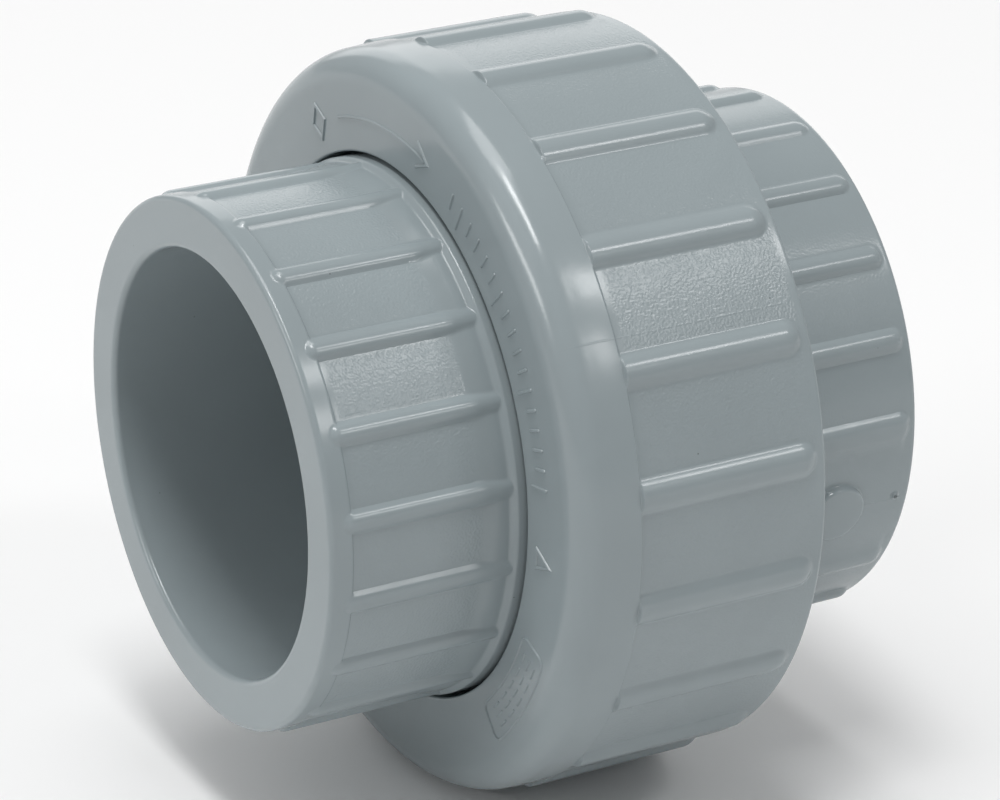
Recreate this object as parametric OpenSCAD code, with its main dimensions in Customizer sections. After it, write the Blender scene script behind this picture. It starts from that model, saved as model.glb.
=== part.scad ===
// Socket pipe union for a nominal 2 inch plastic pipe, lying on its side with its axis along X.
// A tailpiece with a flange is clamped against a threaded body by a ribbed union nut, and an O-ring
// in the body's face makes the seal. The nut turns on a real right-hand helical thread.
// Every x named below is measured from the sealing plane, positive towards the threaded body's mouth.
// The part is then moved so that the middle of its length is the origin.

/* [Sockets] */
// Depth of each pipe socket
socket_depth = 38.1; // [30:0.1:38.1]
// Radius of each pipe socket's wall
socket_r = 30.24; // [29.8:0.01:30.6]
// Bevel at each socket's mouth
mouth_bevel = 0.85; // [0.3:0.05:1.5]
// Radius of the flow bore between the two sockets
flow_r = 24.6; // [20:0.1:26]

/* [Tailpiece] */
// Length from the socket's mouth to the sealing plane
tail_l = 43.5; // [42:0.5:48]
// Radius of the plain band at the mouth
tail_band_r = 37.5; // [36.5:0.1:37.7]
// Radius of the recessed panels between the hub's ribs
tail_panel_r = 37.2; // [36:0.1:37.4]
// Radius of the plain collar that runs into the nut
tail_collar_r = 38.3; // [38:0.1:38.6]
// Radius of the retained flange
flange_r = 44.6; // [43:0.1:44.8]
// Thickness of the retained flange
flange_t = 7; // [5:0.5:7]

/* [Threaded body] */
// Length from the sealing plane to the socket's mouth
body_l = 48; // [46:0.5:56]
// Radius of the body's hub
body_hub_r = 38.1; // [37:0.1:39]
// Length of the threaded barrel
barrel_l = 20.4; // [20:0.1:22]
// Radius of the gate boss on the hub
boss_r = 4.4; // [2:0.1:5]

/* [Union nut] */
// Length of the nut
nut_l = 38.3; // [37:0.1:40]
// Radius of the hole that the tailpiece passes through
nut_hole_r = 39.3; // [39:0.1:40]
// Thickness of the wall behind the front face
nut_wall = 7.8; // [7.8:0.1:8]
// Radius of the plain shoulder behind the rounded front corner
nut_shoulder_r = 53.25; // [53:0.05:54]
// Radius of the rounded front corner
nut_corner_r = 4.5; // [2:0.1:5]
// Length of the shoulder, back to where the ribs start
nut_shoulder_l = 9.3; // [8:0.1:11]
// Radius of the panels between the ribs
nut_panel_r = 52.9; // [52.2:0.1:53]

/* [Ribs] */
// Number of ribs round each part
rib_count = 20; // [12:1:24]
// Radius at the top of the nut's ribs
nut_rib_top_r = 53.95; // [53.6:0.05:54.4]
// Width of the nut's ribs
nut_rib_w = 4.8; // [3:0.1:6]
// Radius at the top of the tailpiece's ribs
tail_rib_top_r = 38.05; // [37.7:0.05:38.6]
// Width of the tailpiece's ribs
tail_rib_w = 3.3; // [2:0.1:4]
// Radius at the top of the body's ribs
body_rib_top_r = 38.9; // [38.5:0.05:39.6]
// Width of the body's ribs
body_rib_w = 3.5; // [2:0.1:4]

/* [Thread] */
// Pitch of the thread
pitch = 5; // [4.6:0.1:6]
// Radius of the body's thread at its crest
thread_crest_r = 47; // [46.6:0.1:47.2]
// Radius of the body's barrel under the thread
thread_core_r = 44.6; // [44:0.1:44.8]
// Radial clearance between the nut and the body
thread_gap = 0.4; // [0.3:0.05:0.6]
// Width of each thread's flat crest
crest_w = 1.65; // [1.2:0.05:1.8]
// Angle of each flank from the radial direction
flank_angle = 15; // [10:1:20]

/* [O-ring] */
// Radius of the O-ring's centre line
ring_r = 36.5; // [34:0.1:38]
// Radius of the O-ring's section before it is flattened
ring_section_r = 1.95; // [1.5:0.05:2.1]
// Depth of the groove
groove_depth = 2.75; // [2.5:0.05:3]
// Width of the groove
groove_w = 4.7; // [4.3:0.1:5]

/* [Hidden] */
$fn = 180;

// Plain gaps between faces of different pieces
seal_gap = 0.1;
flange_gap = 0.2;
// Small bevels on outside edges
edge_bevel = 0.7;
nut_edge_bevel = 0.4;
flange_bevel = 0.6;
// Overlap that makes two solids one
sink = 0.3;

rib_pitch = 360 / rib_count;
// The middle of the gap between two ribs points down, so the nut lies on two ribs
rib_phase = rib_pitch / 2;
// The body's ribs stand a little further round than the nut's
body_rib_phase = rib_phase + 5;
// The body's mould parts along a line at this angle and the one opposite. No rib stands there, and the
// gate boss does.
body_parting = body_rib_phase + 5 * rib_pitch;
boss_x = body_l - 12.4;

nut_front_x = -flange_t - flange_gap - nut_wall;
nut_back_x = nut_front_x + nut_l;
nut_step_x = nut_front_x + nut_shoulder_l;
nut_core_r = thread_core_r + thread_gap;
nut_root_r = thread_crest_r + thread_gap;
thread_h = thread_crest_r - thread_core_r;
base_w = crest_w + 2 * thread_h * tan(flank_angle);

// The two plain ends of the tailpiece's ribbed zone
tail_panel_x = -tail_l + 3.4;
tail_ramp_x = -nut_wall - flange_t - 6.5;
tail_rib_x = -tail_l + 2.1;
tail_collar_x = nut_front_x - 0.8;

// A thread starts one ridge width inside its own part
male_start_x = base_w / 2 + 1;
male_turns = 3;
female_start_x = male_start_x + pitch / 2;
female_turns = 3;
steps_per_turn = 60;
fade_steps = 8;
end_h = 0.3;

// Turn a revolved or extruded shape so that its own Z lies along X
module along_x(x = 0) {
    translate([x, 0, 0])
        rotate([0, 90, 0])
            children();
}

// A solid of revolution about the union's axis, from an outline of [radius, x] points
module turned(outline) {
    along_x()
        rotate_extrude()
            polygon(outline);
}

// A plain bore from x0 to x1
module bore(r, x0, x1) {
    along_x(x0)
        cylinder(r = r, h = x1 - x0);
}

// A conical bore from x0 to x1
module cone_bore(r0, r1, x0, x1) {
    along_x(x0)
        cylinder(r1 = r0, r2 = r1, h = x1 - x0);
}

// Radius of a round bar that shows the given width and height above a cylinder
function bar_r(w, h) = (w * w / 4 + h * h) / (2 * h);

// One rib on top of the part: a sunk round bar from x0 to x1 with a round nose at nose_x
module rib(x0, x1, nose_x, top_r, floor_r, w) {
    r = bar_r(w, top_r - floor_r);
    translate([0, 0, top_r - r]) {
        along_x(x0)
            cylinder(r = r, h = x1 - x0, $fn = 48);
        translate([nose_x, 0, 0])
            sphere(r = r, $fn = 48);
    }
}

// The same rib, repeated all the way round, apart from any that would stand at the angle gap or opposite
module rib_ring(phase, gap = undef) {
    for (a = [phase : rib_pitch : phase + 359])
        if (gap == undef || abs(sin(a - gap)) > 0.01)
            rotate([a, 0, 0])
                children();
}

// Height of a thread along its run, from blunt low ends up to 1
function fade(i, steps) = max(end_h, min(1, i / fade_steps, (steps - i) / fade_steps));

// Four corners of a thread's section at step i: two at its root and two at its crest
function section(i, start_x, root_r, crest_r, steps) =
    let (a = 360 * i / steps_per_turn)
    let (x = start_x + pitch * i / steps_per_turn)
    let (h = crest_r - root_r)
    let (sunk_r = root_r - sink * sign(h))
    let (top_r = root_r + h * fade(i, steps))
    let (u = [0, -sin(a), cos(a)])
    [
        [x - base_w / 2, 0, 0] + sunk_r * u,
        [x + base_w / 2, 0, 0] + sunk_r * u,
        [x + crest_w / 2, 0, 0] + top_r * u,
        [x - crest_w / 2, 0, 0] + top_r * u
    ];

// One side of a thread between steps i and i + 1, as two triangles
function side(i, j) =
    let (a = 4 * i + j)
    let (b = 4 * i + (j + 1) % 4)
    [[a, b, b + 4], [a, b + 4, a + 4]];

// A right-hand helical ridge, as one closed solid. The ridge of a nut points inwards.
module helix(start_x, root_r, crest_r, turns) {
    steps = turns * steps_per_turn;
    points = [for (i = [0 : steps]) each section(i, start_x, root_r, crest_r, steps)];
    last = 4 * steps;
    sides = [for (i = [0 : steps - 1]) for (j = [0 : 3]) each side(i, j)];
    ends = [[0, 2, 1], [0, 3, 2], [last, last + 1, last + 2], [last, last + 2, last + 3]];
    faces = concat(sides, ends);
    inward = crest_r < root_r;
    polyhedron(points, inward ? faces : [for (f = faces) [f[2], f[1], f[0]]]);
}

// The nut's front corner is a true quarter round, cut from a square outline
module nut_outline() {
    difference() {
        union() {
            translate([0, nut_front_x])
                square([nut_shoulder_r, nut_shoulder_l]);
            translate([0, nut_step_x - 1])
                square([nut_panel_r, nut_back_x - nut_step_x + 1]);
        }
        translate([nut_shoulder_r - nut_corner_r, nut_front_x])
            difference() {
                translate([0, -1])
                    square([nut_corner_r + 1, nut_corner_r + 1]);
                translate([0, nut_corner_r])
                    circle(r = nut_corner_r);
            }
        polygon([
            [nut_panel_r - nut_edge_bevel, nut_back_x + 0.01],
            [nut_panel_r + 0.01, nut_back_x - nut_edge_bevel],
            [nut_panel_r + 0.01, nut_back_x + 0.01]
        ]);
    }
}

module union_nut() {
    bar = bar_r(nut_rib_w, nut_rib_top_r - nut_panel_r);
    nose_x = nut_back_x - 1.5 - nut_rib_w / 2;
    entry_l = 1.6;
    color("slategray")
    union() {
        difference() {
            union() {
                along_x()
                    rotate_extrude()
                        nut_outline();
                rib_ring(rib_phase)
                    rib(nut_step_x - sink, nose_x, nose_x, nut_rib_top_r, nut_panel_r, nut_rib_w);
            }
            bore(nut_hole_r, nut_front_x - 1, 0);
            bore(nut_core_r, nut_front_x + nut_wall, male_start_x - base_w / 2);
            bore(nut_root_r, male_start_x - base_w / 2 - 0.5, nut_back_x + 1);
            cone_bore(nut_root_r, nut_root_r + 0.7, nut_back_x - entry_l, nut_back_x + 0.01);
        }
        helix(female_start_x, nut_root_r, nut_core_r, female_turns);
    }
}

module tailpiece() {
    bottom_x = -tail_l + socket_depth;
    nose_x = tail_rib_x + tail_rib_w / 2;
    color("lightslategray")
    difference() {
        union() {
            turned([
                [0, -tail_l],
                [tail_band_r - edge_bevel, -tail_l],
                [tail_band_r, -tail_l + edge_bevel],
                [tail_band_r, tail_panel_x - 0.3],
                [tail_panel_r, tail_panel_x],
                [tail_panel_r, tail_ramp_x],
                [tail_panel_r + 0.4, tail_collar_x - 1.2],
                [tail_collar_r, tail_collar_x],
                [tail_collar_r, -flange_t],
                [flange_r - flange_bevel, -flange_t],
                [flange_r, -flange_t + flange_bevel],
                [flange_r, -flange_bevel],
                [flange_r - flange_bevel, 0],
                [0, 0]
            ]);
            rib_ring(rib_phase)
                rib(nose_x, tail_collar_x - 0.4, nose_x, tail_rib_top_r, tail_panel_r, tail_rib_w);
        }
        bore(flow_r, bottom_x - 1, 1);
        bore(socket_r, -tail_l - 1, bottom_x);
        cone_bore(socket_r + mouth_bevel, socket_r, -tail_l - 0.01, -tail_l + mouth_bevel);
    }
}

module threaded_body() {
    bottom_x = body_l - socket_depth;
    nose_x = body_l - 1.2 - body_rib_w / 2;
    color("slategray")
    union() {
        difference() {
            union() {
                turned([
                    [0, seal_gap],
                    [thread_core_r - edge_bevel, seal_gap],
                    [thread_core_r, seal_gap + edge_bevel],
                    [thread_core_r, barrel_l - edge_bevel],
                    [thread_core_r - edge_bevel, barrel_l],
                    [body_hub_r, barrel_l],
                    [body_hub_r, body_l - edge_bevel],
                    [body_hub_r - edge_bevel, body_l],
                    [0, body_l]
                ]);
                rib_ring(body_rib_phase, body_parting)
                    rib(barrel_l - 1, nose_x, nose_x, body_rib_top_r, body_hub_r, body_rib_w);
                rotate([body_parting, 0, 0])
                    translate([boss_x, 0, body_hub_r - 1])
                        cylinder(r = boss_r, h = 1.9, $fn = 64);
            }
            bore(flow_r, -1, bottom_x + 1);
            bore(socket_r, bottom_x, body_l + 1);
            cone_bore(socket_r, socket_r + mouth_bevel, body_l - mouth_bevel, body_l + 0.01);
            difference() {
                bore(ring_r + groove_w / 2, seal_gap - 1, seal_gap + groove_depth);
                bore(ring_r - groove_w / 2, seal_gap - 2, seal_gap + groove_depth + 1);
            }
        }
        helix(male_start_x, thread_core_r, thread_crest_r, male_turns);
    }
}

// The O-ring, flattened between the groove's floor and the tailpiece's face
module o_ring() {
    squeezed_h = seal_gap / 2 + groove_depth;
    color([0.08, 0.08, 0.08])
    along_x(seal_gap / 2)
        rotate_extrude()
            translate([ring_r, squeezed_h / 2])
                intersection() {
                    circle(r = ring_section_r, $fn = 64);
                    square([3 * ring_section_r, squeezed_h], center = true);
                }
}

// Move the middle of the assembled length to the origin
module centred() {
    translate([(tail_l - body_l) / 2, 0, 0])
        children();
}

centred() union_nut();
centred() tailpiece();
centred() threaded_body();
centred() o_ring();
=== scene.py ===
import math

import bpy
import numpy as np
from mathutils import Matrix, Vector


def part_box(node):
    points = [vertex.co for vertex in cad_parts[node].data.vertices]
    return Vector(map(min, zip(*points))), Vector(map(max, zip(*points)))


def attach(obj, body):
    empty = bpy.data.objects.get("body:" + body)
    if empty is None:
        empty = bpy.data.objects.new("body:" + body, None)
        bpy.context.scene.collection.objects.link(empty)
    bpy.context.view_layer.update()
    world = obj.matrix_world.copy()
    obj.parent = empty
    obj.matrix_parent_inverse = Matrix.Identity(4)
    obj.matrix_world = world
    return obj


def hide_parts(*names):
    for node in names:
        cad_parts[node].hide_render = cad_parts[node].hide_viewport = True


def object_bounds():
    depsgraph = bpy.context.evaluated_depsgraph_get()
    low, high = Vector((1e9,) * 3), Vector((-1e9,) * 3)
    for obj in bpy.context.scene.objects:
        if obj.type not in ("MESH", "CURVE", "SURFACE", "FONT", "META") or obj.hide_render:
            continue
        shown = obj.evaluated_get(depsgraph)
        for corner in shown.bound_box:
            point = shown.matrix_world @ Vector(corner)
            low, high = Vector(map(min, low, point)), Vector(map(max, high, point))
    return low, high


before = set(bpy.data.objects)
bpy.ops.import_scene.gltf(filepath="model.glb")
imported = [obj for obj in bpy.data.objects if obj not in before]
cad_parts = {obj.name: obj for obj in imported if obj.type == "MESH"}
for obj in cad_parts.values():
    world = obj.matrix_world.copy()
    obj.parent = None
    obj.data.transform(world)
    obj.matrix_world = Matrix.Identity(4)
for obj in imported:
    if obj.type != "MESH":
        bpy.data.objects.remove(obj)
cad_low, cad_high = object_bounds()

# Lengths below are in millimetres, and x counts from the sealing plane, which is the tailpiece's flat end.
MM = 0.001
SEAL_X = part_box("tailpiece")[1].x / MM
TURN = 2 * math.pi

# Dimensions shared with the CAD model
PITCH = 5.0
THREAD_TURNS = 3
THREAD_DEPTH, CREST_W, FLANK_DEGREES = 2.4, 1.65, 15
RIB_COUNT = 20
RIB_PHASE = 9.0
BODY_RIB_PHASE = 14.0
# The ridges' half widths, and where each thread starts: the nut's runs midway between the body's
CREST_HALF = CREST_W / 2
BASE_HALF = CREST_HALF + THREAD_DEPTH * math.tan(math.radians(FLANK_DEGREES))
MALE_START = BASE_HALF + 1.0
FEMALE_START = MALE_START + PITCH / 2

# How much flatter a rib's side is where it faces the mould's parting line
GENTLE_SIDE = 0.62
# Fillet where a rib meets its panel
NUT_RIB_FILLET, HUB_RIB_FILLET = 0.22, 0.16


# ---------------------------------------------------------------- mesh tools

def smooth_max(a, b, k):
    """The larger of a and b, with a fillet of about k where they cross."""
    return np.maximum(a, b) + np.maximum(k - np.abs(a - b), 0) ** 2 / (4 * k)


def ease(x, x0, x1):
    """0 before x0, 1 after x1, smooth in between."""
    t = np.clip((x - x0) / (x1 - x0), 0, 1)
    return t * t * (3 - 2 * t)


def arc(cx, cr, radius, a0, a1, steps):
    """Points [x, r] of an arc, from angle a0 to a1 in degrees, with 0 along +x and 90 along +r."""
    a = np.radians(np.linspace(a0, a1, steps))
    return list(zip(cx + radius * np.cos(a), cr + radius * np.sin(a)))


def bar_radius(width, height):
    """Radius of the round bar that stands this high above a surface where it is this wide."""
    return (width * width / 4 + height * height) / (2 * height)


def rib_centres(phase):
    """Angles of the ribs in radians. The angle t is 90 degrees at the top and 180 towards the camera."""
    return np.radians(90 + phase + 360 / RIB_COUNT * np.arange(RIB_COUNT))


def wrapped(angle, period=TURN):
    """The angle moved by whole periods to lie within half a period of 0."""
    return (angle + period / 2) % period - period / 2


def rib_columns(phase, radius, half, fine, coarse, extra=()):
    """Angles for the mesh's columns at a radius: a fine spacing within half of each rib's spine, and a
    coarse one between the ribs."""
    pitch = TURN / RIB_COUNT
    near = np.linspace(-half, half, int(round(2 * half / fine)) + 1) / radius
    gap = pitch - 2 * half / radius
    count = max(2, int(round(gap * radius / coarse)))
    between = half / radius + gap * np.arange(1, count) / count
    angles = [c + off for c in rib_centres(phase) for off in np.concatenate([near, between])]
    angles = np.array(angles + list(extra)) % TURN
    angles = np.unique(np.round(angles, 7))
    keep = np.concatenate([[True], np.diff(angles) > 2e-4])
    return angles[keep]


def rib_distance(theta, phase, radius, x, nose_x, sign, parting=None):
    """Distance in the unrolled surface from the nearest rib's spine, which ends at nose_x.
    sign is +1 where the nose is the rib's high-x end and -1 where it is the low-x end. Where the mould
    parts at a rib's place, that rib is left out, and its neighbours slope gently on the side facing it,
    because a steeper side would lock them in the mould."""
    off = wrapped(theta - rib_centres(phase)[0], TURN / RIB_COUNT)
    across = off * radius
    along = np.maximum(sign * (x - nose_x), 0)
    if parting is not None:
        to_line = wrapped(parting - (theta - off), TURN / 2)
        beside = np.abs(to_line) < 1.5 * TURN / RIB_COUNT
        across = np.where(beside & (off * to_line > 0), across * GENTLE_SIDE, across)
        across = np.where(np.abs(to_line) < 0.01, 9 * radius, across)
    return np.sqrt(across ** 2 + along ** 2)


def bar_surface(dist, top_r, bar_r):
    """Height of a sunk round bar's surface at a distance from its spine."""
    return top_r - bar_r + np.sqrt(np.maximum(bar_r ** 2 - dist ** 2, 0)) - 9 * (dist > bar_r)


def thread_ridges(theta, start_x):
    """x and height share of four neighbouring thread ridges along each column, aligned with the helix.
    Ridge 3 has no height: it is where the thread's last turn would go on."""
    outer = BASE_HALF + 0.2
    x_off = np.array([-outer, -BASE_HALF - 0.06, -BASE_HALF + 0.07, -CREST_HALF - 0.10,
                      -CREST_HALF + 0.05, -CREST_HALF + 0.24])
    share = np.array([0, 0.02, 0.13, 0.84, 0.97, 1.0])
    x_off = np.concatenate([x_off, -x_off[::-1]])
    share = np.concatenate([share, share[::-1]])
    xs, hs = [], []
    for k in range(THREAD_TURNS + 1):
        phi = theta + TURN * k
        centre = start_x + PITCH * phi / TURN
        fade = ease(phi, 0, 0.5) * (1 - ease(phi, TURN * THREAD_TURNS - 0.5, TURN * THREAD_TURNS))
        xs.append(centre + x_off[:, None])
        hs.append(fade * share[:, None] * np.ones_like(theta))
    return xs, hs, outer


def thread_rows(theta, start_x, low, high):
    """x and height share of the thread zone's rows, which lie between low and high. Also the rows' x at the
    first column, one turn on and as it is, for the seam."""
    def rows(angles):
        xs, hs, outer = thread_ridges(angles, start_x)
        last = start_x + PITCH * THREAD_TURNS
        part = angles / TURN
        from_x = (last - outer) * (1 - part) + (last + outer + 0.01) * part
        to_x = (last + outer) * (1 - part) + high * part
        share = np.linspace(0, 1, len(xs[3]))[:, None]
        aligned = (xs[3] - xs[3][:1]) / (xs[3][-1:] - xs[3][:1])
        share = aligned * (1 - part) + share * part
        xs[3] = from_x + (to_x - from_x) * share
        x = np.vstack(xs)
        floor = low + 0.004 * np.arange(len(x))[:, None]
        return np.maximum(x, floor), np.vstack(hs)
    x, h = rows(theta)
    x_after_turn, _ = rows(np.array([TURN]))
    return x, h, x_after_turn[:, 0], x[:, 0]


def zip_faces(last_ids, first_ids, last_pos, first_pos):
    """Triangles and quads between two columns whose points don't match one to one."""
    faces, i, j = [], 0, 0
    while i < len(last_ids) - 1 or j < len(first_ids) - 1:
        a = last_pos[i + 1] if i < len(last_ids) - 1 else 1e9
        b = first_pos[j + 1] if j < len(first_ids) - 1 else 1e9
        if abs(a - b) < 1e-6:
            faces.append((last_ids[i], last_ids[i + 1], first_ids[j + 1], first_ids[j]))
            i, j = i + 1, j + 1
        elif a < b:
            faces.append((last_ids[i], last_ids[i + 1], first_ids[j]))
            i += 1
        else:
            faces.append((last_ids[i], first_ids[j + 1], first_ids[j]))
            j += 1
    return faces


def ring_faces(rows, cols, seam=None):
    """Quads of a grid that closes on itself both ways. seam = (first row, last row, positions at the end of
    a turn, positions at its start) marks rows that follow the thread and are zipped at the seam."""
    ids = np.arange(rows * cols).reshape(rows, cols)
    faces = []
    for i in range(rows):
        n = (i + 1) % rows
        a, b = ids[i], ids[n]
        quads = np.stack([a[:-1], a[1:], b[1:], b[:-1]], -1)
        faces.extend(map(tuple, quads))
        if seam is None or not seam[0] <= i < seam[1]:
            faces.append((a[-1], a[0], b[0], b[-1]))
    if seam is not None:
        r0, r1, end_pos, start_pos = seam
        zipped = zip_faces(ids[r0:r1 + 1, -1], ids[r0:r1 + 1, 0], end_pos, start_pos)
        faces.extend(tuple(reversed(f)) for f in zipped)
    return faces


def place(x, r, theta):
    """Points in metres in the row frame, from x, radius and angle."""
    return np.stack([(x + SEAL_X), r * np.cos(theta), r * np.sin(theta)], -1) * MM


class Shell:
    """Rows of points round the x axis, for a surface that closes on itself both ways. Each row holds x,
    radius and share of eroded mould surface at every column's angle."""

    def __init__(self, theta):
        self.theta = theta
        self.x, self.r, self.eroded = [], [], []

    def row(self, x, r, eroded=0.0):
        for values, value in ((self.x, x), (self.r, r), (self.eroded, eroded)):
            values.append(value * np.ones_like(self.theta))

    def rings(self, points):
        """Rows that keep one x and one radius all the way round, from points [x, r]."""
        for x, r in points:
            self.row(x, r)

    def mesh(self, seam=None):
        x, r = np.array(self.x), np.array(self.r)
        return place(x, r, self.theta * np.ones_like(x)), ring_faces(len(x), len(self.theta), seam)


def signed_volume(verts, faces):
    """Six times the volume that the faces enclose, negative where they face inwards."""
    total = 0.0
    for size in {len(f) for f in faces}:
        p = verts[np.array([f for f in faces if len(f) == size])]
        for k in range(1, size - 1):
            total += np.einsum("ij,ij->", p[:, 0], np.cross(p[:, k], p[:, k + 1]))
    return total


def joined(shells):
    """One (verts, faces) pair from several closed shells, each turned to face outwards."""
    all_verts, all_faces, count = [], [], 0
    for verts, faces in shells:
        verts = np.asarray(verts, float).reshape(-1, 3)
        step = 1 if signed_volume(verts, faces) > 0 else -1
        all_faces += [tuple(int(i) + count for i in f)[::step] for f in faces]
        all_verts.append(verts)
        count += len(verts)
    return np.vstack(all_verts), all_faces


def make_object(name, shells, material, sharp_angle=32, eroded=None):
    """A mesh object from closed shells. eroded gives the first shell's share of eroded mould surface."""
    verts, faces = joined(shells)
    mesh = bpy.data.meshes.new(name)
    mesh.from_pydata(verts.tolist(), [], faces)
    if eroded is not None:
        values = np.zeros(len(verts), np.float32)
        values[:eroded.size] = eroded.ravel()
        mesh.attributes.new("eroded", "FLOAT", "POINT").data.foreach_set("value", values)
    mesh.shade_smooth()
    mesh.set_sharp_from_angle(angle=math.radians(sharp_angle))
    mesh.update()
    obj = bpy.data.objects.new(name, mesh)
    obj.data.materials.append(material)
    bpy.context.scene.collection.objects.link(obj)
    return obj


# ---------------------------------------------------------------- materials

def moulded_plastic(name, color, seed):
    """Semi-gloss moulded plastic. The mesh's "eroded" field says where the mould was spark eroded."""
    material = bpy.data.materials.new(name)
    material.use_nodes = True
    tree = material.node_tree
    link = tree.links.new
    shader = tree.nodes["Principled BSDF"]
    shader.inputs["IOR"].default_value = 1.5
    coordinates = tree.nodes.new("ShaderNodeTexCoord")
    shifted = tree.nodes.new("ShaderNodeMapping")
    shifted.inputs["Location"].default_value = (seed * 0.37, seed * 0.11, seed * 0.23)
    link(coordinates.outputs["Object"], shifted.inputs["Vector"])
    spot = shifted.outputs["Vector"]

    def noise(scale, detail, rough, distortion=0.0):
        made = tree.nodes.new("ShaderNodeTexNoise")
        made.inputs["Scale"].default_value = scale
        made.inputs["Detail"].default_value = detail
        made.inputs["Roughness"].default_value = rough
        made.inputs["Distortion"].default_value = distortion
        link(spot, made.inputs["Vector"])
        return made.outputs["Fac"]

    def math_node(kind, a, b=None, c=None):
        made = tree.nodes.new("ShaderNodeMath")
        made.operation = kind
        for socket, value in zip(made.inputs, (a, b, c)):
            if value is None:
                continue
            if isinstance(value, (int, float)):
                socket.default_value = value
            else:
                link(value, socket)
        return made.outputs["Value"]

    def remap(value, a0, a1, b0, b1):
        made = tree.nodes.new("ShaderNodeMapRange")
        link(value, made.inputs["Value"])
        for key, number in zip(("From Min", "From Max", "To Min", "To Max"), (a0, a1, b0, b1)):
            made.inputs[key].default_value = number
        return made.outputs["Result"]

    eroded = tree.nodes.new("ShaderNodeAttribute")
    eroded.attribute_name = "eroded"
    mask = eroded.outputs["Fac"]

    # colour: a faint cloudiness and rare dark specks in the compound
    cloud = noise(28, 3, 0.55, 0.6)
    speck = tree.nodes.new("ShaderNodeTexVoronoi")
    speck.inputs["Scale"].default_value = 150
    link(spot, speck.inputs["Vector"])
    ramp = tree.nodes.new("ShaderNodeValToRGB")
    ramp.color_ramp.elements[0].position = 0.30
    ramp.color_ramp.elements[0].color = (*[c * 0.955 for c in color], 1)
    ramp.color_ramp.elements[1].position = 0.72
    ramp.color_ramp.elements[1].color = (*[min(1, c * 1.04) for c in color], 1)
    link(cloud, ramp.inputs["Fac"])
    dark = remap(speck.outputs["Distance"], 0.012, 0.020, 0.45, 1.0)
    shade = tree.nodes.new("ShaderNodeMix")
    shade.data_type = "RGBA"
    shade.blend_type = "MULTIPLY"
    shade.inputs[0].default_value = 1.0
    link(ramp.outputs["Color"], shade.inputs[6])
    grey = tree.nodes.new("ShaderNodeCombineColor")
    for key in ("Red", "Green", "Blue"):
        link(dark, grey.inputs[key])
    link(grey.outputs["Color"], shade.inputs[7])
    link(shade.outputs[2], shader.inputs["Base Color"])

    # roughness: polished steel leaves gloss, eroded steel leaves a satin face
    handling = noise(70, 4, 0.6)
    glossy = remap(handling, 0.3, 0.75, 0.16, 0.22)
    satin = remap(handling, 0.3, 0.75, 0.22, 0.27)
    mixed = math_node("ADD", math_node("MULTIPLY", satin, mask),
                      math_node("MULTIPLY", glossy, math_node("SUBTRACT", 1.0, mask)))
    link(mixed, shader.inputs["Roughness"])

    # relief: eroded grain, then finer and slower unevenness of the moulding
    grain = noise(2900, 0, 0.5)
    grain_height = math_node("MULTIPLY", math_node("SUBTRACT", grain, 0.5), mask)
    relief = None
    for height, strength, distance in (
        (grain_height, 0.42, 0.00012),
        (noise(260, 2, 0.5), 0.10, 0.00020),
        (noise(95, 2, 0.5), 0.16, 0.0004),
    ):
        bump = tree.nodes.new("ShaderNodeBump")
        bump.inputs["Strength"].default_value = strength
        bump.inputs["Distance"].default_value = distance
        link(height, bump.inputs["Height"])
        if relief is not None:
            link(relief, bump.inputs["Normal"])
        relief = bump.outputs["Normal"]
    link(relief, shader.inputs["Normal"])
    return material


def seal_rubber():
    material = bpy.data.materials.new("seal_rubber_moulded")
    material.use_nodes = True
    tree = material.node_tree
    shader = tree.nodes["Principled BSDF"]
    where = tree.nodes.new("ShaderNodeTexCoord")
    dust = tree.nodes.new("ShaderNodeTexNoise")
    dust.inputs["Scale"].default_value = 160
    dust.inputs["Detail"].default_value = 4
    tree.links.new(where.outputs["Object"], dust.inputs["Vector"])
    ramp = tree.nodes.new("ShaderNodeValToRGB")
    ramp.color_ramp.elements[0].color = (0.010, 0.010, 0.011, 1)
    ramp.color_ramp.elements[1].color = (0.030, 0.030, 0.031, 1)
    tree.links.new(dust.outputs["Fac"], ramp.inputs["Fac"])
    tree.links.new(ramp.outputs["Color"], shader.inputs["Base Color"])
    rough = tree.nodes.new("ShaderNodeMapRange")
    rough.inputs["To Min"].default_value = 0.42
    rough.inputs["To Max"].default_value = 0.62
    tree.links.new(dust.outputs["Fac"], rough.inputs["Value"])
    tree.links.new(rough.outputs["Result"], shader.inputs["Roughness"])
    skin = tree.nodes.new("ShaderNodeTexNoise")
    skin.inputs["Scale"].default_value = 2400
    tree.links.new(where.outputs["Object"], skin.inputs["Vector"])
    bump = tree.nodes.new("ShaderNodeBump")
    bump.inputs["Strength"].default_value = 0.25
    bump.inputs["Distance"].default_value = 0.00005
    tree.links.new(skin.outputs["Fac"], bump.inputs["Height"])
    tree.links.new(bump.outputs["Normal"], shader.inputs["Normal"])
    return material


GREY = (0.285, 0.330, 0.345)
nut_plastic = moulded_plastic("nut_grey_plastic", GREY, 1)
tail_plastic = moulded_plastic("tailpiece_grey_plastic", GREY, 2)
body_plastic = moulded_plastic("body_grey_plastic", GREY, 3)


# ---------------------------------------------------------------- union nut

NUT_FRONT, NUT_BACK, NUT_STEP = -15.0, 23.3, -5.7
# The hole is 0.4 mm tighter than in the CAD model, because the photograph shows a thin gap
NUT_HOLE_R, NUT_CORE_R, NUT_ROOT_R = 38.9, 45.0, 47.4
NUT_SHOULDER_R, NUT_PANEL_R, NUT_RIB_TOP = 53.25, 52.9, 53.93
NUT_CORNER_R, NUT_RIB_W = 4.5, 4.8
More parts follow.
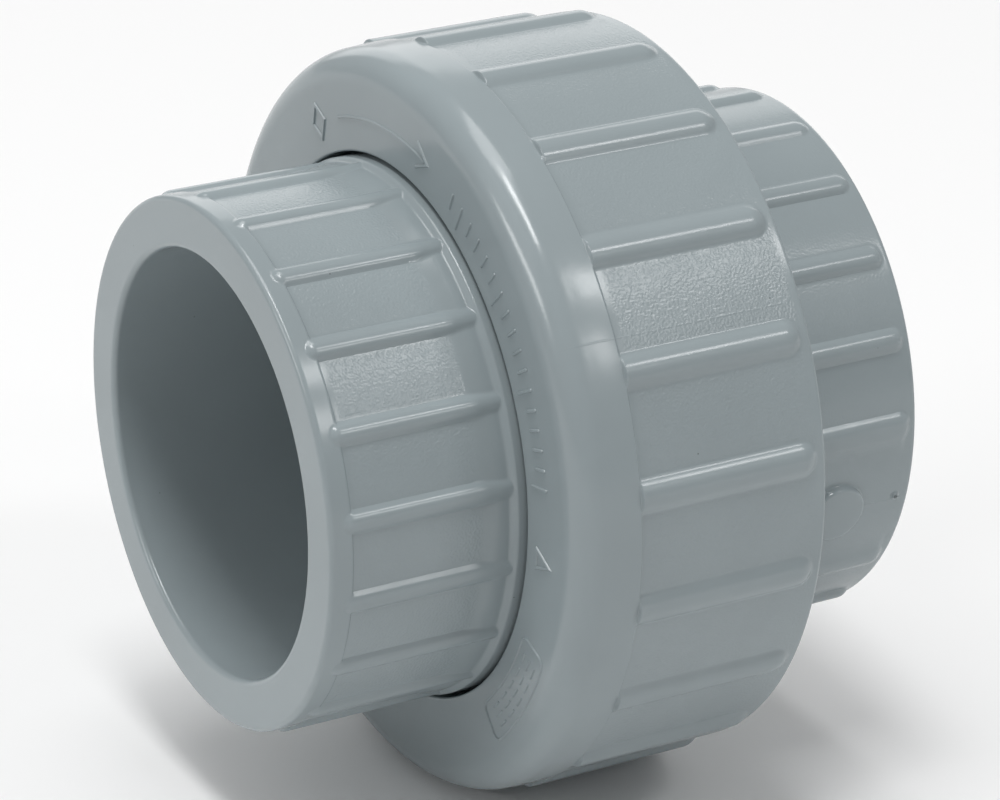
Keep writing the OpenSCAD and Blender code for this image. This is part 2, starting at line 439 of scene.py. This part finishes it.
# How far the shoulder's profile falls from the step to the rounded corner
SHOULDER_CROWN = 0.22
NUT_WALL_BACK = -7.2
NUT_PARTING = np.radians(148.0)
PARTING_WIDTH = 0.0022
NUT_LINE_ENDS = (-12.6, 21.3)


def parting_lift(theta, x, x0, x1, angles, height=0.02):
    """Height of the fine witness lines where the mould's halves meet, between x0 and x1."""
    lift = np.zeros(np.broadcast(theta, x).shape)
    for a in angles:
        lift = lift + height * np.clip(1 - np.abs(wrapped(theta - a)) / PARTING_WIDTH, 0, 1)
    return lift * ease(x, x0, x0 + 0.6) * (1 - ease(x, x1 - 0.6, x1))


def parting_columns(angles):
    """Mesh columns on each parting line and close beside it, so that its shading stays narrow."""
    return [a + k * PARTING_WIDTH for a in angles for k in (-4, -2, -1, 0, 1, 2, 4)]


def panel_share(dist, rib_w):
    """Share of eroded surface at a distance from a rib's spine: the ribs themselves are polished."""
    return ease(dist, rib_w / 2 + 0.1, rib_w / 2 + 0.6)


def build_nut():
    lines = [NUT_PARTING, NUT_PARTING + math.pi]
    theta = rib_columns(RIB_PHASE, NUT_PANEL_R, 3.0, 0.3, 1.6, parting_columns(lines))
    shell = Shell(theta)

    # front face, from the hole's edge out to the rounded corner
    shell.rings(arc(NUT_FRONT + 0.35, NUT_HOLE_R + 0.35, 0.35, 270, 180, 5))
    face_r = NUT_SHOULDER_R - SHOULDER_CROWN - NUT_CORNER_R
    shell.rings([(NUT_FRONT, r) for r in (NUT_HOLE_R + 0.45, 41.5, 44.0, 46.5, face_r - 0.15)])
    for x, r in arc(NUT_FRONT + NUT_CORNER_R, face_r, NUT_CORNER_R, 180, 95, 16):
        shell.row(x, r + parting_lift(theta, x, *NUT_LINE_ENDS, lines))

    # shoulder, step, panels with ribs
    nose_x = NUT_BACK - 1.5 - NUT_RIB_W / 2
    bar_r = bar_radius(NUT_RIB_W, NUT_RIB_TOP - NUT_PANEL_R)
    rows = [NUT_FRONT + NUT_CORNER_R + 0.2, -9.4, -8.5, -7.4, -6.4, -6.05, -5.92, -5.84, -5.78, -5.72,
            -5.66, -5.60, -5.52, -5.40, -5.2, -5.0, -4.6, -4.2, -3.9, -2.0, 1.5, 4.5, 8, 11.5, 15, 17.5,
            18.8]
    rows += list(np.arange(19.15, 22.45, 0.22)) + [22.62]
    for x in rows:
        dist = rib_distance(theta, RIB_PHASE, NUT_PANEL_R, x, nose_x, 1)
        ribbed = smooth_max(NUT_PANEL_R, bar_surface(dist, NUT_RIB_TOP, bar_r), NUT_RIB_FILLET)
        over = ease(x, NUT_STEP - 0.14, NUT_STEP + 0.16)
        along = min(0, x - NUT_STEP) / (NUT_FRONT + NUT_CORNER_R - NUT_STEP)
        shoulder = NUT_SHOULDER_R - SHOULDER_CROWN * along ** 2
        r = shoulder * (1 - over) + ribbed * over
        r = r + parting_lift(theta, x, *NUT_LINE_ENDS, lines)
        shell.row(x, r, panel_share(dist, NUT_RIB_W) * ease(x, NUT_STEP + 0.7, NUT_STEP + 1.7)
                  * (1 - ease(x, 21.3, 22.4)))

    # back edge and back face
    shell.rings(arc(NUT_BACK - 0.55, NUT_PANEL_R - 0.55, 0.55, 90, 0, 8))
    root_end = NUT_ROOT_R + 0.7
    shell.rings([(NUT_BACK, r) for r in (NUT_PANEL_R - 0.7, 51.3, 49.5, root_end + 0.25)])
    shell.rings(arc(NUT_BACK - 0.15, root_end + 0.15, 0.15, 0, -60, 3))

    # entry cone, then the thread, towards the sealing plane
    shell.rings([(NUT_BACK - 0.5, NUT_ROOT_R + 0.48), (NUT_BACK - 1.0, NUT_ROOT_R + 0.26),
                 (NUT_BACK - 1.5, NUT_ROOT_R + 0.04)])
    tx, th, end_pos, start_pos = thread_rows(theta, FEMALE_START, 2.2, 21.7)
    seam_start = len(shell.x)
    for x, share in zip(tx[::-1], th[::-1]):
        shell.row(x, NUT_ROOT_R - THREAD_DEPTH * share)
    seam = (seam_start, len(shell.x) - 1, -end_pos[::-1], -start_pos[::-1])
    shell.rings([(2.0, NUT_ROOT_R), (0.9, NUT_ROOT_R)])
    shell.rings(arc(0.8, NUT_ROOT_R - 0.3, 0.3, 90, 180, 4))
    shell.rings(arc(0.2, NUT_CORE_R + 0.3, 0.3, 0, -90, 4))
    shell.rings([(-0.2, NUT_CORE_R), (-3.5, NUT_CORE_R), (-6.6, NUT_CORE_R)])
    shell.rings(arc(NUT_WALL_BACK + 0.5, NUT_CORE_R - 0.5, 0.5, 90, 180, 5))
    shell.rings([(NUT_WALL_BACK, r) for r in (NUT_CORE_R - 0.7, 42.0, NUT_HOLE_R + 0.35)])
    shell.rings(arc(NUT_WALL_BACK - 0.25, NUT_HOLE_R + 0.25, 0.25, 0, -90, 4))
    shell.rings([(NUT_WALL_BACK - 0.45, NUT_HOLE_R), (-11.0, NUT_HOLE_R), (NUT_FRONT + 0.5, NUT_HOLE_R)])

    return make_object("union_nut_shell", [shell.mesh(seam)], nut_plastic, eroded=np.array(shell.eroded))


# Raised marks on the nut's front face. They are plain shapes and no letters: a tightening arrow, a scale of
# ticks, a diamond, a triangle and a framed block of dashes.
MARK_HEIGHT, MARK_SINK = 0.22, 0.12
MARK_R, STROKE_W, FINE_STROKE_W = 43.8, 0.5, 0.36


def on_face(degrees, radius):
    """Points in the nut's front face, in millimetres from the axis, from polar coordinates."""
    t = np.radians(degrees)
    return np.stack([radius * np.cos(t), radius * np.sin(t)], -1)


def ridge(path, width=STROKE_W, closed=False):
    """A closed shell: a raised stroke along a path in the nut's front face. An open one has round ends."""
    path = np.asarray(path, float)
    ahead = np.roll(path, -1, axis=0) - path
    if not closed:
        ahead[-1] = ahead[-2]
    ahead /= np.linalg.norm(ahead, axis=1)[:, None]
    behind = np.roll(ahead, 1, axis=0)
    if not closed:
        behind[0] = ahead[0]
    mean = ahead + behind
    mitre = 2 / np.einsum("ij,ij->i", mean, mean)
    side = np.stack([-mean[:, 1], mean[:, 0]], -1) * mitre[:, None]
    half = width / 2
    profile = np.array([[-half - 0.05, -MARK_SINK], [-half, 0.04], [0.11 - half, MARK_HEIGHT],
                        [half - 0.11, MARK_HEIGHT], [half, 0.04], [half + 0.05, -MARK_SINK]])
    centres, sides, share = list(path), list(side), [1.0] * len(path)
    if not closed:
        for reach in (0.35, 0.7, 0.93):
            for end, way in ((0, -1), (-1, 1)):
                tip = path[end] + way * reach * half * (ahead[0] if end == 0 else ahead[-1])
                at = 0 if end == 0 else len(centres)
                centres.insert(at, tip)
                sides.insert(at, side[end])
                share.insert(at, math.sqrt(1 - reach ** 2))
    verts = []
    for centre, across, scale in zip(centres, sides, share):
        for offset, height in profile:
            spot = centre + offset * scale * across
            rise = height * scale if height > 0 else height
            verts.append((NUT_FRONT - rise + SEAL_X, spot[0], spot[1]))
    rows, cols = len(centres), len(profile)
    ids = np.arange(rows * cols).reshape(rows, cols)
    faces = []
    for i in range(rows if closed else rows - 1):
        a, b = ids[i], ids[(i + 1) % rows]
        faces += [(a[j], a[(j + 1) % cols], b[(j + 1) % cols], b[j]) for j in range(cols)]
    if not closed:
        faces += [tuple(ids[0][::-1]), tuple(ids[-1])]
    return np.array(verts) * MM, faces


def build_marks():
    shells = []
    # a curved arrow that shows which way the nut tightens
    shells.append(ridge(on_face(np.linspace(70, 103, 26), MARK_R)))
    shells.append(ridge([on_face(100.4, 45.7), on_face(104.3, MARK_R), on_face(100.4, 41.9)]))
    # a scale of ticks, with every fifth one longer
    tick_end = 44.5
    for k, degrees in enumerate(np.arange(114, 173, 3.5)):
        inner = 40.8 if k % 5 == 1 else 42.2
        shells.append(ridge(on_face(degrees, np.array([inner, tick_end]))))
    # a diamond and a triangle
    diamond = [on_face(61.5, 46.2), on_face(64.0, MARK_R), on_face(61.5, 41.4), on_face(59.0, MARK_R)]
    triangle = [on_face(184, 45.0), on_face(185.9, 41.8), on_face(182.1, 41.8)]
    shells += [ridge(diamond, closed=True), ridge(triangle, closed=True)]
    # a rounded frame with rows of dashes
    low, high, first, last, corner = 41.6, 47.2, 202.0, 228.0, 1.2
    turn = math.degrees(corner / 44)
    corners = ((high - corner, last - turn, 0), (low + corner, last - turn, 90),
               (low + corner, first + turn, 180), (high - corner, first + turn, 270))
    frame_path = []
    for radius, degrees, start in corners:
        for a in np.radians(start + np.linspace(0, 90, 6)):
            frame_path.append(on_face(degrees + turn * math.sin(a), radius + corner * math.cos(a)))
    # the frame's long sides follow the nut's curve, so their ends are joined in short steps
    long_path = []
    for here, there in zip(frame_path, frame_path[1:] + frame_path[:1]):
        steps = max(1, int(np.linalg.norm(there - here) / 1.2))
        polar = [(math.degrees(math.atan2(p[1], p[0])) % 360, np.linalg.norm(p)) for p in (here, there)]
        for k in range(steps):
            share = k / steps
            long_path.append(on_face(*[a + (b - a) * share for a, b in zip(*polar)]))
    shells.append(ridge(long_path, FINE_STROKE_W, closed=True))
    for radius in (43.0, 44.4, 45.8):
        for degrees in np.arange(205.4, 226, 4.2):
            shells.append(ridge(on_face(np.linspace(degrees, degrees + 2.2, 4), radius), FINE_STROKE_W))
    return make_object("nut_face_marks", shells, nut_plastic)


# ---------------------------------------------------------------- tailpiece

TAIL_END = -43.5
SOCKET_R, FLOW_R = 30.24, 24.6
TAIL_BAND_R, TAIL_PANEL_R, TAIL_COLLAR_R = 37.5, 37.2, 38.3
FLANGE_R, FLANGE_T = 44.6, 7.0
TAIL_RIB_TOP, TAIL_RIB_W, TAIL_SWELL = 38.05, 3.3, 0.4
TAIL_PARTING = np.radians(10.0)
SOCKET_DEPTH = 38.1


def tail_base(x):
    """Radius of the tailpiece's outside between its ribs: band, panels, a slow swell, then the collar."""
    r = TAIL_BAND_R + (TAIL_PANEL_R - TAIL_BAND_R) * ease(x, -40.32, -40.02)
    r = r + TAIL_SWELL * ease(x, -21.6, -17.4)
    return r + (TAIL_COLLAR_R - TAIL_PANEL_R - TAIL_SWELL) * ease(x, -17.0, -15.8)


def build_tailpiece():
    lines = [TAIL_PARTING + math.pi, TAIL_PARTING]
    theta = rib_columns(RIB_PHASE, TAIL_PANEL_R, 2.25, 0.25, 1.5, parting_columns(lines))
    shell = Shell(theta)

    # mouth: rounded inner edge, flat face, rounded outer edge
    mouth = 0.8
    shell.rings(arc(TAIL_END + mouth, SOCKET_R + mouth, mouth, 270, 180, 7))
    shell.rings([(TAIL_END, SOCKET_R + mouth + 0.15), (TAIL_END, 34.0), (TAIL_END, TAIL_BAND_R - 0.9)])
    shell.rings(arc(TAIL_END + 0.75, TAIL_BAND_R - 0.75, 0.75, 180, 90, 7))

    nose_x = TAIL_END + 3.5
    bar_r = bar_radius(TAIL_RIB_W, TAIL_RIB_TOP - TAIL_PANEL_R)
    rows = list(np.arange(-42.6, -38.6, 0.17)) + [-38.3, -37.5, -36, -33, -30, -27, -24, -22, -21.2, -20.4,
            -19.6, -18.8, -18.0, -17.4, -17.1]
    rows += list(np.arange(-16.9, -15.65, 0.12)) + [-15.5, -15.0, -12.0, -9.0, -7.6]
    for x in rows:
        dist = rib_distance(theta, RIB_PHASE, TAIL_PANEL_R, x, nose_x, -1)
        r = smooth_max(tail_base(x), bar_surface(dist, TAIL_RIB_TOP, bar_r), HUB_RIB_FILLET)
        r = np.minimum(r, np.maximum(tail_base(x), TAIL_RIB_TOP))
        r = r + parting_lift(theta, x, -42.4, -8.5, lines)
        shell.row(x, r, panel_share(dist, TAIL_RIB_W) * ease(x, -39.6, -39.0) * (1 - ease(x, -21.2, -20.4)))

    # flange and sealing face
    shell.rings(arc(-FLANGE_T - 0.4, TAIL_COLLAR_R + 0.4, 0.4, 270, 360, 4))
    shell.rings([(-FLANGE_T, TAIL_COLLAR_R + 0.55), (-FLANGE_T, 41.5), (-FLANGE_T, FLANGE_R - 0.75)])
    shell.rings(arc(-FLANGE_T + 0.6, FLANGE_R - 0.6, 0.6, 180, 90, 5))
    shell.rings([(-FLANGE_T + 0.75, FLANGE_R), (-3.5, FLANGE_R), (-0.75, FLANGE_R)])
    shell.rings(arc(-0.6, FLANGE_R - 0.6, 0.6, 90, 0, 5))
    shell.rings([(0, FLANGE_R - 0.75), (0, 41), (0, 36.5), (0, 32), (0, 28), (0, FLOW_R + 0.55)])

    # flow bore, stop and socket
    bottom = TAIL_END + SOCKET_DEPTH
    shell.rings(arc(-0.4, FLOW_R + 0.4, 0.4, 0, -90, 4))
    shell.rings([(-0.55, FLOW_R), (-2.8, FLOW_R), (bottom + 0.55, FLOW_R)])
    shell.rings(arc(bottom + 0.4, FLOW_R + 0.4, 0.4, 270, 180, 4))
    shell.rings([(bottom, FLOW_R + 0.55), (bottom, 27.5), (bottom, SOCKET_R - 0.65)])
    shell.rings(arc(bottom - 0.5, SOCKET_R - 0.5, 0.5, 0, 90, 4))
    shell.rings([(bottom - 0.65, SOCKET_R), (-15.0, SOCKET_R), (-25.0, SOCKET_R), (-34.0, SOCKET_R),
                 (-41.0, SOCKET_R), (TAIL_END + mouth + 0.15, SOCKET_R)])

    return make_object("tailpiece_shell", [shell.mesh()], tail_plastic, eroded=np.array(shell.eroded))


# ---------------------------------------------------------------- threaded body

BODY_END = 48.0
BODY_HUB_R, BODY_RIB_TOP, BODY_RIB_W = 38.1, 38.9, 3.5
BARREL_END, THREAD_CORE_R = 20.4, 44.6
BODY_FACE = 0.1
BODY_PARTING = np.radians(194.0)
GATE_X, GATE_R, GATE_HEIGHT = 35.6, 4.4, 0.9
RING_R, GROOVE_W, GROOVE_DEPTH = 36.5, 4.7, 2.75


def raised_disc(centre_x, angle, radius, height, hub_r):
    """A closed shell: a flat-topped boss on a cylinder, with a fillet at its foot and a rounded edge."""
    outline = [(radius + 0.42, -0.25), (radius + 0.30, -0.01), (radius + 0.16, 0.04), (radius + 0.06, 0.14),
               (radius, 0.5 * height), (radius - 0.04, 0.72 * height), (radius - 0.13, 0.88 * height),
               (radius - 0.27, 0.97 * height), (radius - 0.42, height), (0.6 * radius, height),
               (0.3 * radius, height)]
    steps = 72
    around = np.linspace(0, TURN, steps, endpoint=False)
    verts = []
    for reach, lift in outline:
        along, aside = reach * np.cos(around), reach * np.sin(around)
        flat = ease(lift, 0.2 * height, 0.8 * height)
        level = np.sqrt(hub_r ** 2 - aside ** 2) * (1 - flat) + hub_r * flat + lift
        verts += list(zip(centre_x + along, level, aside))
    verts += [(centre_x, hub_r + height, 0), (centre_x, hub_r - 1, 0)]
    x, up, aside = np.array(verts).T
    spots = np.stack([x + SEAL_X, up * math.cos(angle) - aside * math.sin(angle),
                      up * math.sin(angle) + aside * math.cos(angle)], -1)
    rings = len(outline)
    ids = np.arange(rings * steps).reshape(rings, steps)
    top, bottom = rings * steps, rings * steps + 1
    faces = []
    for j in range(steps):
        n = (j + 1) % steps
        faces += [(ids[i, j], ids[i, n], ids[i + 1, n], ids[i + 1, j]) for i in range(rings - 1)]
        faces += [(ids[-1, j], ids[-1, n], top), (ids[0, n], ids[0, j], bottom)]
    return spots * MM, faces


def build_body():
    lines = [BODY_PARTING, BODY_PARTING + math.pi]
    theta = rib_columns(BODY_RIB_PHASE, BODY_HUB_R, 2.3, 0.25, 1.5, parting_columns(lines))
    shell = Shell(theta)

    # sealing face with its groove, from the flow bore outwards
    bottom = BODY_END - SOCKET_DEPTH
    groove_in, groove_out = RING_R - GROOVE_W / 2, RING_R + GROOVE_W / 2
    floor = BODY_FACE + GROOVE_DEPTH
    shell.rings(arc(BODY_FACE + 0.4, FLOW_R + 0.4, 0.4, 270, 180, 4))
    shell.rings([(BODY_FACE, FLOW_R + 0.55), (BODY_FACE, 29), (BODY_FACE, groove_in - 0.3)])
    shell.rings([(BODY_FACE, groove_in - 0.15), (BODY_FACE + 0.05, groove_in - 0.05),
                 (BODY_FACE + 0.15, groove_in)])
    shell.rings([(BODY_FACE + 1.0, groove_in), (floor - 0.35, groove_in), (floor - 0.1, groove_in + 0.1),
                 (floor, groove_in + 0.35), (floor, RING_R), (floor, groove_out - 0.35),
                 (floor - 0.1, groove_out - 0.1), (floor - 0.35, groove_out),
                 (BODY_FACE + 1.0, groove_out)])
    shell.rings([(BODY_FACE + 0.15, groove_out), (BODY_FACE + 0.05, groove_out + 0.05),
                 (BODY_FACE, groove_out + 0.15), (BODY_FACE, groove_out + 0.3)])
    shell.rings([(BODY_FACE, 41.5), (BODY_FACE, THREAD_CORE_R - 0.85)])
    shell.rings(arc(BODY_FACE + 0.65, THREAD_CORE_R - 0.65, 0.65, 180, 90, 5))

    # threaded barrel
    tx, th, end_pos, start_pos = thread_rows(theta, MALE_START, 0.8, BARREL_END - 0.72)
    seam_start = len(shell.x)
    for x, share in zip(tx, th):
        shell.row(x, THREAD_CORE_R + THREAD_DEPTH * share)
    seam = (seam_start, len(shell.x) - 1, end_pos, start_pos)
    shell.rings(arc(BARREL_END - 0.65, THREAD_CORE_R - 0.65, 0.65, 90, 0, 5))
    shell.rings([(BARREL_END, r) for r in (THREAD_CORE_R - 0.85, 41.5, 39.7, 39.2)])

    # hub with ribs that end in round noses
    nose_x = BODY_END - 1.2 - BODY_RIB_W / 2
    bar_r = bar_radius(BODY_RIB_W, BODY_RIB_TOP - BODY_HUB_R)
    rows = [20.6, 20.9, 21.5, 24, 27, 30, 33, 36, 39, 41.5, 43.5, 44.4]
    rows += list(np.arange(44.8, 47.25, 0.17))
    for x in rows:
        dist = rib_distance(theta, BODY_RIB_PHASE, BODY_HUB_R, x, nose_x, 1, BODY_PARTING)
        r = smooth_max(BODY_HUB_R, bar_surface(dist, BODY_RIB_TOP, bar_r), HUB_RIB_FILLET)
        r = np.minimum(r, BODY_RIB_TOP)
        r = r + parting_lift(theta, x, 21, 46.8, lines, 0.04)
        shell.row(x, r, 0.3 * panel_share(dist, BODY_RIB_W) * ease(x, 24, 26) * (1 - ease(x, 46.2, 47.0)))

    # mouth, socket, stop and flow bore
    mouth = 0.8
    shell.rings(arc(BODY_END - 0.7, BODY_HUB_R - 0.7, 0.7, 90, 0, 7))
    shell.rings([(BODY_END, BODY_HUB_R - 0.85), (BODY_END, 34.0), (BODY_END, SOCKET_R + mouth + 0.15)])
    shell.rings(arc(BODY_END - mouth, SOCKET_R + mouth, mouth, 0, -90, 7))
    shell.rings([(BODY_END - mouth - 0.15, SOCKET_R), (40, SOCKET_R), (30, SOCKET_R), (20, SOCKET_R),
                 (bottom + 0.65, SOCKET_R)])
    shell.rings(arc(bottom + 0.5, SOCKET_R - 0.5, 0.5, 90, 180, 4))
    shell.rings([(bottom, SOCKET_R - 0.65), (bottom, 27.5), (bottom, FLOW_R + 0.55)])
    shell.rings(arc(bottom - 0.4, FLOW_R + 0.4, 0.4, 0, -90, 4))
    shell.rings([(bottom - 0.55, FLOW_R), (5.0, FLOW_R), (BODY_FACE + 0.55, FLOW_R)])

    gate = raised_disc(GATE_X, BODY_PARTING, GATE_R, GATE_HEIGHT, BODY_HUB_R)
    nib = raised_disc(45.5, BODY_PARTING - 0.014, 0.5, 0.35, BODY_HUB_R)
    return make_object("threaded_body_shell", [shell.mesh(seam), gate, nib], body_plastic,
                       eroded=np.array(shell.eroded))


# ---------------------------------------------------------------- o-ring

def build_ring():
    """A round cord, flattened between the groove's floor and the tailpiece, with a fine flash line."""
    low, high = BODY_FACE / 2, BODY_FACE + GROOVE_DEPTH
    half, wide = (high - low) / 2, 1.95
    angles = np.linspace(0, TURN, 40, endpoint=False)
    s = np.sin(angles)
    across = wide * np.sign(np.cos(angles)) * np.abs(np.cos(angles)) ** 0.92
    along = half * np.sign(s) * np.minimum(np.abs(s) * 1.32, 1 - 0.03 * (1 - np.abs(s)) ** 2)
    across = across + 0.04 * np.sign(np.cos(angles)) * (np.abs(s) < 0.05)
    theta = np.linspace(0, TURN, 240, endpoint=False)
    x = ((low + high) / 2 + along * 0.995)[:, None] * np.ones_like(theta)
    r = (RING_R + across * 0.98)[:, None] * np.ones_like(theta)
    verts = place(x, r, theta * np.ones_like(x))
    return make_object("o_ring_seal", [(verts, ring_faces(len(angles), len(theta)))], seal_rubber(), 60)


nut = build_nut()
marks = build_marks()
tail = build_tailpiece()
body = build_body()
ring = build_ring()

for piece, group, cad_node, slot_name in (
    (nut, "union_nut", "union_nut", "nut_plastic"),
    (tail, "tailpiece", "tailpiece", "tailpiece_plastic"),
    (body, "threaded_body", "threaded_body", "body_plastic"),
    (ring, "threaded_body", "o_ring", "seal_rubber"),
):
    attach(piece, group)
    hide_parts(cad_node)
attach(marks, "union_nut")


# ---------------------------------------------------------------- stage

def look_matrix(direction, up_hint=(0, 0, 1)):
    """Rotation whose -Z looks along direction."""
    z = -np.array(direction, float)
    z /= np.linalg.norm(z)
    x = np.cross(up_hint, z)
    x /= np.linalg.norm(x)
    y = np.cross(z, x)
    return Matrix([[x[i], y[i], z[i]] for i in range(3)])


def softbox(name, azimuth, elevation, distance, size, power, height_axis):
    """An area light facing the object. Azimuth 0 is the -Y side and 90 the +X side, in degrees."""
    az, el = math.radians(azimuth), math.radians(elevation)
    toward = np.array([math.sin(az) * math.cos(el), -math.cos(az) * math.cos(el), math.sin(el)])
    data = bpy.data.lights.new(name, "AREA")
    data.shape = "RECTANGLE"
    data.size, data.size_y = size
    data.energy = power
    lamp = bpy.data.objects.new(name, data)
    lamp.matrix_world = (Matrix.Translation(tuple(toward * distance))
                         @ look_matrix(-toward, height_axis).to_4x4())
    lamp.visible_camera = False
    bpy.context.scene.collection.objects.link(lamp)


floor_mesh = bpy.data.meshes.new("studio_floor")
floor_z = cad_low.z
reach = 6.0
floor_mesh.from_pydata([(-reach, -reach, floor_z), (reach, -reach, floor_z), (reach, reach, floor_z),
                        (-reach, reach, floor_z)], [], [(0, 1, 2, 3)])
floor_obj = bpy.data.objects.new("studio_floor", floor_mesh)
bpy.context.scene.collection.objects.link(floor_obj)
floor_material = bpy.data.materials.new("pale_floor")
floor_material.use_nodes = True
floor_shader = floor_material.node_tree.nodes["Principled BSDF"]
floor_shader.inputs["Base Color"].default_value = (0.86, 0.86, 0.86, 1)
floor_shader.inputs["Roughness"].default_value = 0.7
floor_mesh.materials.append(floor_material)

world = bpy.data.worlds.new("studio")
bpy.context.scene.world = world
world.use_nodes = True
world.node_tree.nodes["Background"].inputs["Color"].default_value = (1, 1, 1, 1)
world.node_tree.nodes["Background"].inputs["Strength"].default_value = 0.3

# Name, azimuth and elevation in degrees, distance and size in metres, power in watts, and the box's up
ALONG_Z, ALONG_Y = (0, 0, 1), (0, 1, 0)
for name, azimuth, elevation, distance, size, power, height_axis in (
    ("left_strip", 269, 26, 1.6, (0.80, 0.24), 4.6, ALONG_Z),
    ("left_broad", 272, 48, 2.0, (1.2, 1.0), 1.6, ALONG_Z),
    ("top_strip", 320.6, 77, 1.6, (0.26, 0.62), 8.0, ALONG_Y),
    ("top_broad", 200, 80, 2.0, (1.2, 1.0), 15.0, ALONG_Z),
    ("right_front", 44, 45, 1.6, (0.22, 0.24), 1.6, ALONG_Z),
    ("right_high", 35.5, 49, 1.6, (0.15, 0.20), 1.0, ALONG_Z),
    ("right_low", 26.5, 32, 1.6, (0.10, 0.26), 1.1, ALONG_Z),
    ("back_wall", 150, 18, 2.2, (2.4, 1.2), 11.0, ALONG_Z),
):
    softbox(name, azimuth, elevation, distance, size, power, height_axis)

# The camera stands at the photograph's angle. RANGE and the offsets, in millimetres, run from the middle of
# the sealing plane: back along the view, and sideways and upwards in the picture.
AZIMUTH, ELEVATION, ROLL = math.radians(29.614), math.radians(23.586), math.radians(0.653)
RANGE, OFFSET_RIGHT, OFFSET_UP, LENS = 615.98, -2.428, -0.800, 156.66
forward = np.array([math.sin(AZIMUTH) * math.cos(ELEVATION), math.cos(AZIMUTH) * math.cos(ELEVATION),
                    -math.sin(ELEVATION)])
level = np.array([math.cos(AZIMUTH), -math.sin(AZIMUTH), 0.0])
lifted = np.cross(level, forward)
right = level * math.cos(ROLL) + lifted * math.sin(ROLL)
upward = -level * math.sin(ROLL) + lifted * math.cos(ROLL)
eye = -RANGE * forward - OFFSET_RIGHT * right - OFFSET_UP * upward + np.array([SEAL_X, 0, 0])
camera_data = bpy.data.cameras.new("camera")
camera_data.sensor_width = 36
camera_data.lens = LENS
camera = bpy.data.objects.new("camera", camera_data)
camera.matrix_world = Matrix([[right[i], upward[i], -forward[i], eye[i] * MM] for i in range(3)]
                             + [[0, 0, 0, 1]])
camera_data.clip_start, camera_data.clip_end = 0.05, 20
bpy.context.scene.collection.objects.link(camera)
bpy.context.scene.camera = camera
bpy.context.scene.view_settings.view_transform = "Standard"
